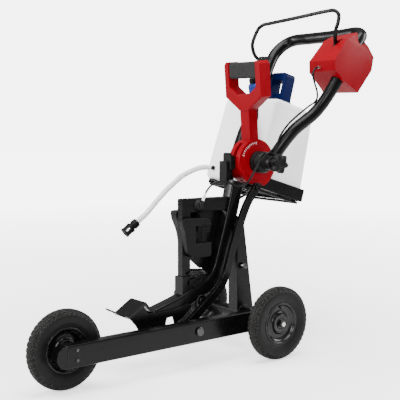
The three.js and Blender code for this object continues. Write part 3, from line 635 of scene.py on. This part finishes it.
RIM_HALF = [
    (26.4, 15.5), (27.2, 17.4), (31.5, 17.6), (33, 17.1), (33.6, 15.8), (34.2, 11.5), (36, 8),
    (40, 5.4), (47, 4.4), (53, 4.8), (57, 6.2), (61, 9), (63.4, 12), (64.6, 14.6), (65.8, 16.6),
    (67.4, 17.9), (69.2, 18.7), (71, 18.8), (72.3, 18.1), (72.7, 16.8), (72.7, 12),
]
BEARING_HALF = [
    (8.4, 14.2), (12.6, 14.2), (13.2, 15.6), (15.6, 15.6), (16, 13.8), (21.4, 13.8), (22, 16),
    (25.4, 16), (26, 15.3),
]
VALVE_LINE = [(0, 63.5), (6, 58.5), (13.5, 54.5), (17.5, 52.5)]  # (sideways, up) from the hub
VALVE_R = 3.1


def wheel_pieces(wheel):
    centre = pivot(f"{wheel}_spin")
    stands_for(tyre(wheel), f"{wheel}_tyre")
    rim = lathe(f"{wheel}_dish_rim", in_mm(mirrored(RIM_HALF)), centre, sides=96, sharp_angle=60)
    stands_for(rim, f"{wheel}_rim")
    bearing = lathe(f"{wheel}_ball_bearing", in_mm(mirrored(BEARING_HALF)), centre, sides=64)
    stands_for(bearing, f"{wheel}_bearing", look="dark_steel")
    for side, word in ((-1, "right"), (1, "left")):
        ring = [(16.3, side * 13.9), (16.3, side * 15), (21.2, side * 15), (21.2, side * 13.9)]
        seal = lathe(f"{wheel}_seal_{word}", in_mm(ring), centre, sides=48)
        extra(seal, wheel, "cable_rubber")
    stem = smooth_line([centre + Vector((x, 0, z)) * MM for x, z in VALVE_LINE], 6)
    valve = sweep(f"{wheel}_valve_stem", stem, round_section(VALVE_R * MM, 14))
    extra(valve, wheel, "cable_rubber")


for wheel in WHEELS:
    wheel_pieces(wheel)


# ---------- tubes and bars ----------

TUBE_R, TUBE_WALL = 22, 2.5
ARM_LINE = [(104, 833, 694), (108, 849, 718), (130, 899, 784), (160, 982, 853), (187, 1042, 943)]
CROSSBAR_LINE = [
    (-200, 1082, 1022), (-206, 1124, 1078), (-196, 1162, 1112), (-168, 1182, 1128),
    (-80, 1187, 1132), (0, 1191, 1134), (80, 1194, 1137), (156, 1197, 1140), (184, 1186, 1129),
    (194, 1148, 1094), (194, 1088, 1024),
]
BAIL_POINTS = [
    (-195, 1045, 1050), (-208, 1045, 1050), (-216, 1038, 1056), (-218, 1022, 1074),
    (-217, 1011, 1108), (-210, 1022, 1150), (-202, 1031, 1172), (-184, 1037, 1184),
    (-152, 1039, 1187), (0, 1042, 1199), (148, 1045, 1211), (178, 1048, 1211), (196, 1051, 1198),
    (200, 1047, 1172), (193, 1042, 1142), (181, 1052, 1114), (171.6, 1063.5, 1095.7),
    (163, 1062, 1074), (156, 1050, 1056), (148, 1045, 1050),
]
BAIL_R = 7
COLUMN_POINTS = [
    (736, 605), (704, 482), (667, 362), (642, 291), (606, 252), (560, 231), (483, 199),
    (425, 182), (366, 166),
]
COLUMN_SIDE, COLUMN_BORE = 50, 44
HOOP_HALF = [
    (0, 596, 296), (22, 590, 296), (38, 572, 296), (41, 548, 296), (32, 526, 296), (20, 514, 296),
]
HOOP_R = 5
BEAM_MIDDLE = (110, 121)  # (x, z) of the beam's own axis
BEAM_Y = (-30, 790)
AXLE_Y, AXLE_Z = 750, 127
CROSS_TUBE_X = (-170, 89.7)
CROSS_TUBE_R, AXLE_BORE_R = 22, 8.3


def both_sides(half):
    """A line given from the middle out on the + side, with its mirror image before it."""
    return [(-x, y, z) for x, y, z in reversed(half[1:])] + list(half)


def design_line(points, per_span=10):
    return smooth_line([at(*p) for p in points], per_span)


far_arm = [(-x, y, z) for x, y, z in ARM_LINE]
handlebar = sweep(
    "handlebar_tube", design_line(far_arm + CROSSBAR_LINE + ARM_LINE[::-1]),
    round_section(TUBE_R * MM, 28), round_section((TUBE_R - TUBE_WALL) * MM, 28),
)
stands_for(handlebar, "handlebar")

bail = sweep("throttle_bail_wire", design_line(BAIL_POINTS, 8), round_section(BAIL_R * MM, 18))
stands_for(bail, "throttle_bail")

hoop = sweep(
    "cradle_hoop_wire", design_line(both_sides(HOOP_HALF), 8), round_section(HOOP_R * MM, 16),
)
stands_for(hoop, "cradle_hoop")

column = sweep(
    "main_column_tube", design_line([(0, y, z) for y, z in COLUMN_POINTS], 12),
    box_section(COLUMN_SIDE * MM, COLUMN_SIDE * MM, 8 * MM),
    box_section(COLUMN_BORE * MM, COLUMN_BORE * MM, 5 * MM), side=X_AXIS,
)
stands_for(column, "main_column")

beam = sweep(
    "base_beam_tube", [at(BEAM_MIDDLE[0], y, BEAM_MIDDLE[1]) for y in BEAM_Y],
    box_section(40 * MM, 72 * MM, 6 * MM), box_section(34 * MM, 66 * MM, 3 * MM), side=X_AXIS,
)
stands_for(beam, "base_beam")

cross_tube = sweep(
    "cross_tube_bar", [at(x, AXLE_Y, AXLE_Z) for x in CROSS_TUBE_X],
    round_section(CROSS_TUBE_R * MM, 40), round_section(AXLE_BORE_R * MM, 40),
)
stands_for(cross_tube, "cross_tube")

RACK_R = 5 * MM
RACK_LOW = -54  # the rack's rods run this far under the tray's upper edge
TRAY_LEAN = math.radians(17)
TRAY_ORIGIN = (866, 626)


def leaning(x, y, z):
    """From the leaning frame of the tray, whose origin is its upper front edge."""
    c, s = math.cos(TRAY_LEAN), math.sin(TRAY_LEAN)
    return at(x, TRAY_ORIGIN[0] + y * c + z * s, TRAY_ORIGIN[1] - y * s + z * c)


def rack():
    """Two rods along the tray, two across it, and two curved stays down to the column."""
    rods = [[leaning(x, 18, RACK_LOW), leaning(x, 268, RACK_LOW)] for x in (-60, -300)]
    rods += [[leaning(-300, y, RACK_LOW), leaning(-60, y, RACK_LOW)] for y in (20, 262)]
    short_stay = [(-14, 735, 530), (-16, 790, 546), (-36, 846, 562), (-60, 872, 567.6)]
    long_stay = [(-16, 728, 505), (-60, 780, 528), (-150, 850, 560), (-180, 872, 567.6)]
    rods += [design_line(short_stay, 8), design_line(long_stay, 8)]
    bars = [sweep(f"rack_rod_{i}", line, round_section(RACK_R, 14)) for i, line in enumerate(rods)]
    return merge("tank_rack_rods", *bars)


stands_for(rack(), "tank_rack")


# ---------- cables ----------

CABLE_R = 3.5 * MM
CABLE_POINTS = [
    (140, 1026, 1012), (142, 1004, 1010), (146, 984, 1000), (150, 974, 982), (156, 976, 955),
    (163, 981, 928), (166, 981, 908), (165, 979, 897), (162, 971, 885), (156, 956, 875),
    (142, 917, 845), (128, 878, 810), (117, 850, 771), (112, 835, 736), (110, 822, 722),
    (105, 804, 708), (99, 790, 696), (94, 783, 687), (88, 779, 680), (85, 769, 664),
    (80, 756, 640), (68, 750, 616), (52, 748, 600), (40, 728, 590), (36, 700, 596),
    (36, 668, 609), (34, 636, 610), (30, 608, 601), (27, 588, 582), (26, 577, 562),
    (25.5, 572, 550),
]
cable = sweep("throttle_cable", design_line(CABLE_POINTS, 8), round_section(CABLE_R, 14))
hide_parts("cable_upper", "cable_middle", "cable_lower")
wear_slot(cable, "cable_rubber")
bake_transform(cable)


def ferrule(name, body, start, end, slot="zinc_steel"):
    """A sleeve round the cable's end."""
    start, end = at(*start), at(*end)
    length = (end - start).length / MM
    profile = [
        (0, 0), (4.6, 0), (5, 0.4), (5, length - 4), (4.2, length - 2), (4.2, length), (0, length),
    ]
    extra(lathe(name, in_mm(profile), start, end - start, sides=24), body, slot)


ferrule("cable_ferrule_boot", "frame", (25.4, 570, 547), (26.6, 582, 572), "scale_print")
ferrule("cable_ferrule_box", "handlebar", (140, 1026, 1012), (142, 1004, 1010))


# ---------- hub, bosses and knob ----------

BOSS = [
    (12.3, 33.6), (37.5, 33.6), (39, 35), (39, 44), (37.2, 46), (37.2, 50), (39, 52), (39, 69),
    (38, 71.5), (34, 79), (32, 80.6), (27, 81.2), (26, 82.5), (26, 118.5), (24.5, 120), (9, 120),
    (9, 83), (12.3, 82),
]
for side, word in ((1, "left"), (-1, "right")):
    profile = [(r * MM, side * x * MM) for r, x in BOSS]
    boss = lathe(f"hub_boss_{word}", profile, HUB, sides=80)
    stands_for(boss, f"handlebar_boss_{word}")

KNOB = [
    (0, 84), (8, 84), (8, 120), (13, 121.5), (14, 124), (14, 131), (24, 132), (29.5, 134),
    (31, 137.5), (31, 155), (29.6, 158.6), (25, 161), (18, 162), (13.5, 161.4), (12.5, 159.6),
    (6.5, 159.2), (0, 159.2),
]
knob = lathe(
    "star_knob", in_mm(KNOB), HUB, sides=144, lobes=6, lobe_depth=5 * MM, lobed=range(6, 13),
    sharp_angle=55,
)
stands_for(knob, "clamp_knob")


# ---------- filler cap and nipple ----------

CAP_AXIS = Vector(JOINTS["cap_turn"]["axis"])
CAP_FOOT = pivot("cap_turn")
CAP = [
    (0, 41.8), (37, 41.8), (38, 42.8), (39.2, 46), (39.6, 48), (39.6, 84), (38.4, 89),
    (35.4, 92.6), (31, 94.2), (12, 95.4), (0, 95.6),
]
cap = lathe(
    "filler_cap_body", in_mm(CAP), CAP_FOOT, CAP_AXIS, sides=216, lobes=36,
    lobe_depth=0.55 * MM, lobed=(4, 5, 6),
)
stands_for(cap, "filler_cap")

# The cap's vent, off its middle.
VENT = [
    (0, 94), (14.6, 94), (14.6, 97), (13.4, 98), (13.4, 100), (14.6, 101), (14.6, 112),
    (13.4, 115), (10, 116), (0, 116.2),
]
VENT_FOOT = CAP_FOOT + Vector((-12, -14.8, -2.6)) * MM
vent = lathe(
    "filler_cap_vent", in_mm(VENT), VENT_FOOT, CAP_AXIS, sides=96, lobes=8,
    lobe_depth=0.5 * MM, lobed=range(5, 8),
)
extra(vent, "filler_cap", "black_plastic")

# The ring round the tank's neck, under the cap.
NECK_RING = [
    (27.4, -26), (33, -26), (33, 12), (35, 13.5), (35, 17), (33, 18.5), (33, 38.5),
    (31.5, 40.6), (27.4, 40.6),
]
neck = lathe("tank_neck_ring", in_mm(NECK_RING), CAP_FOOT, CAP_AXIS, sides=80)
extra(neck, "frame", "tank_plastic")

NIPPLE_TILT = math.radians(6)
NIPPLE_AXIS = Vector((0, -math.cos(NIPPLE_TILT), math.sin(NIPPLE_TILT)))
NIPPLE_FOOT = (-290, 880, 630)
NIPPLE = [
    (0, -8), (5.6, -8), (5.6, 3.6), (8.6, 3.6), (9, 4.2), (9, 7.4), (8.4, 8.2), (6.5, 9),
    (6.5, 12), (5.4, 12.4), (6.5, 16.5), (5.4, 16.9), (6.5, 21), (5, 24), (0, 24),
]
nipple = lathe("tank_outlet", in_mm(NIPPLE), at(*NIPPLE_FOOT), NIPPLE_AXIS, sides=40)
stands_for(nipple, "tank_nipple")


# ---------- water tank ----------

TANK_SIDE = [(866, 591), (978, 904), (1137, 859), (1171, 814), (1107, 518)]
TANK_ROUND = 14 * MM
ARM_GROOVE = [
    (-106, 857, 733), (-130, 899, 784), (-160, 982, 853), (-184, 1038, 930), (-196, 1074, 1004),
]
GROOVE_R = 32 * MM
GROOVE_STEPS = (0, 7, 14)  # degrees of the handlebar's swing that the groove leaves room for


def tank():
    """A blow-moulded body: soft corners, and a groove that clears the handlebar's arm."""
    outline = rounded_corners(TANK_SIDE, 24, 6)
    x0, x1 = TANK_X
    vertices = [at(x, y, z) for x in (x0, x1) for y, z in outline]
    count = len(outline)
    faces = [(i, (i + 1) % count, count + (i + 1) % count, count + i) for i in range(count)]
    faces += [tuple(range(count)), tuple(range(count, 2 * count))]
    body = mesh_piece("water_tank_body", vertices, faces)
    corners = body.modifiers.new("corners", "BEVEL")
    corners.width = TANK_ROUND
    corners.segments = 6
    corners.limit_method = "ANGLE"
    corners.angle_limit = math.radians(60)
    grooves = []
    for degrees in GROOVE_STEPS:
        swing = Matrix.Rotation(math.radians(degrees), 4, "X")
        line = [HUB + swing @ (p - HUB) for p in design_line(ARM_GROOVE, 6)]
        groove = sweep(f"groove_{degrees}", line, round_section(GROOVE_R, 24))
        clear = body.modifiers.new(groove.name, "BOOLEAN")
        clear.operation = "DIFFERENCE"
        clear.object = groove
        grooves.append(groove)
    even = body.modifiers.new("even", "REMESH")
    even.mode = "VOXEL"
    even.voxel_size = 3.2 * MM
    soften = body.modifiers.new("soften", "SMOOTH")
    soften.factor = 0.5
    soften.iterations = 8
    apply_modifiers(body)
    for groove in grooves:
        bpy.data.objects.remove(groove)
    body.data.shade_smooth()
    return body


stands_for(tank(), "water_tank")


# ---------- pieces that keep their CAD shape, with rounded edges ----------

EDGE_RADII = {  # in mm
    "beam_nose": 1.5, "nose_screw_upper": 0.5, "nose_screw_lower": 0.5, "front_axle": 0.8,
    "front_axle_nut": 1, "rear_axle": 0.8, "rear_axle_nut_left": 1, "rear_axle_nut_right": 1,
    "strut_pivot_shaft": 1.2, "depth_strut": 3, "rear_tower": 3, "foot_plate": 1.5,
    "foot_side_plate": 1.2, "cradle_post": 2.4, "cradle_arm": 2.4, "cable_boot": 1.4,
    "cradle_cheek_left": 2.5, "cradle_cheek_right": 2.5, "cradle_gusset": 1.5, "post_bracket": 2,
    "hub_bracket": 3, "tank_tray": 1.6, "carry_handle": 4, "lock_pin": 1, "throttle_finger": 1,
    "post_latch": 1.2, "depth_lever": 4, "lever_grip": 5, "lever_crank": 1.2, "bail_bracket": 1,
    "control_box_outer": 2, "control_box_inner": 2, "hub_spindle": 1,
}
DARK_FITTINGS = (  # steel fittings with a dull finish
    "nose_screw_upper", "nose_screw_lower", "rear_axle_nut_left", "rear_axle_nut_right",
    "lock_pin", "strut_pivot_shaft",
)
for node, radius in EDGE_RADII.items():
    look = "dark_steel" if node in DARK_FITTINGS else None
    stands_for(refined(node, radius), node, look)


# ---------- small details ----------

BLOCK_ROUND = 0.3  # a block's edge rounding, as a share of its thinnest side


def block(name, body, slot, size, place, turn=None):
    """A small block with rounded edges; its size and place are in design millimetres."""
    shape = bmesh.new()
    bmesh.ops.create_cube(shape, size=1)
    bmesh.ops.scale(shape, vec=Vector(size) * MM, verts=shape.verts)
    bmesh.ops.bevel(
        shape, geom=shape.edges[:], offset=min(size) * BLOCK_ROUND * MM, segments=2,
        affect="EDGES", profile=0.5,
    )
    if turn:
        bmesh.ops.rotate(shape, matrix=turn, verts=shape.verts)
    bmesh.ops.translate(shape, vec=at(*place), verts=shape.verts)
    mesh = bpy.data.meshes.new(name)
    shape.to_mesh(mesh)
    shape.free()
    piece = bpy.data.objects.new(name, mesh)
    bpy.context.collection.objects.link(piece)
    smooth(piece, 50)
    return extra(piece, body, slot)


# A depth scale on the lever's near ring: short and long marks, about the hub.
TICKS = 11
SCALE_FROM, SCALE_SPREAD = 92, 66  # degrees, from straight back and upwards
SCALE_R, SCALE_X = 72, 29.15
HUB_Y, HUB_Z = HUB_IN_DESIGN.y / MM, HUB_IN_DESIGN.z / MM
for i in range(TICKS):
    angle = math.radians(SCALE_FROM + SCALE_SPREAD * i / (TICKS - 1))
    length = 12 if i % 5 == 0 else 7
    radius = SCALE_R - length / 2
    place = (SCALE_X, HUB_Y + radius * math.cos(angle), HUB_Z + radius * math.sin(angle))
    turn = Matrix.Rotation(angle, 3, "X")
    block(f"scale_mark_{i:02d}", "lever", "scale_print", (0.7, length, 1.5), place, turn)

# Ribs down the rear edge of the near cheek, above its notch.
RIBS = 5
RIB_PITCH = 9
for i in range(RIBS):
    height = 432 + RIB_PITCH * (i + 1)
    block(f"cheek_rib_{i}", "frame", "black_plastic", (3, 26, 3), (38.6, 580, height))

# The round boss on the column's near face, over the foot.
FACE_BOSS = [
    (0, 0), (21, 0), (21, 2.2), (20.2, 3), (18.6, 3), (17.8, 2.2), (17.8, 1.4), (9, 1.4),
    (8.2, 2.2), (8.2, 4.6), (7, 5.4), (0, 5.4),
]
face_boss = lathe("column_face_boss", in_mm(FACE_BOSS), at(24.8, 566, 198), sides=64)
extra(face_boss, "frame", "black_paint")

# The lock pin's cross handle.
PIN_HANDLE_LINE = [(51, 723, 308), (52, 735, 305), (51, 747, 302)]
pin_handle = sweep("lock_pin_handle", design_line(PIN_HANDLE_LINE, 6), round_section(3 * MM, 16))
extra(pin_handle, "lock_pin", "zinc_steel")

# The bright sleeve inside the hose connector.
hose_end = hose_line[-1]
hose_way = (hose_line[-1] - hose_line[-2]).normalized()
SLEEVE = [(8.4, 33), (11.4, 33), (11.4, 60), (10.6, 61), (8.4, 61)]
sleeve = lathe("connector_sleeve", in_mm(SLEEVE), hose_end, hose_way, sides=40)
extra(sleeve, "frame", "zinc_steel")


# ---------- floor, light and sky ----------

BACKDROP = 6.0  # the brightness of the surround as the camera sees it
SKY_LIGHT = 0.45  # the brightness of the surround as it lights the machine
FLOOR_GLOW = 1.2  # the floor's own brightness at the machine, as the camera sees it
FLOOR_R = 14
FLOOR_DROP = 0.0006  # keeps the floor clear of the tyres' lowest points


def add_floor():
    """A pale floor that fades into the surround behind the machine."""
    bpy.ops.mesh.primitive_circle_add(
        vertices=96, radius=FLOOR_R, fill_type="NGON", location=(0, 0, -FLOOR_DROP),
    )
    floor = bpy.context.object
    floor.name = "floor"
    s = Shader("floor", Roughness=0.7, Specular_IOR_Level=0.1)
    s.feed("Base Color", s.mix(s.noise(1.5, 2), grey(0.9), grey(0.93)))
    distance = s.node("ShaderNodeVectorMath", {0: s.place}, operation="LENGTH").outputs["Value"]
    seen = s.node("ShaderNodeLightPath").outputs["Is Camera Ray"]
    s.shader.inputs["Emission Color"].default_value = grey(1)
    glow = s.ramp(distance, 0.6, 5, FLOOR_GLOW, BACKDROP)
    s.feed("Emission Strength", s.math("MULTIPLY", seen, glow))
    floor.data.materials.append(s.material)


def add_light(name, place, energy, width, height):
    """A soft rectangular light that faces the hub."""
    data = bpy.data.lights.new(name, "AREA")
    data.shape = "RECTANGLE"
    data.size, data.size_y = width, height
    data.energy = energy
    light = bpy.data.objects.new(name, data)
    light.location = place
    light.rotation_euler = (HUB - Vector(place)).to_track_quat("-Z", "Y").to_euler()
    bpy.context.collection.objects.link(light)


def add_sky():
    """A dim surround for the lighting that the camera itself sees as bright white."""
    world = bpy.data.worlds.new("sky")
    world.use_nodes = True
    tree = world.node_tree
    seen = tree.nodes.new("ShaderNodeLightPath").outputs["Is Camera Ray"]
    strength = tree.nodes.new("ShaderNodeMapRange")
    strength.inputs["To Min"].default_value = SKY_LIGHT
    strength.inputs["To Max"].default_value = BACKDROP
    tree.links.new(seen, strength.inputs["Value"])
    background = tree.nodes["Background"]
    background.inputs["Color"].default_value = (1, 1, 1, 1)
    tree.links.new(strength.outputs[0], background.inputs["Strength"])
    bpy.context.scene.world = world


add_floor()
add_light("overhead", (0.3, -0.2, 3.2), 190, 2.4, 2.4)
add_light("front_left", (2.6, -2.8, 2.2), 150, 1.2, 2.0)
add_light("front_right", (-2.2, -2.4, 1.8), 110, 0.8, 2.2)
add_light("behind", (1.4, 2.8, 2.0), 90, 1.2, 2.0)
add_sky()
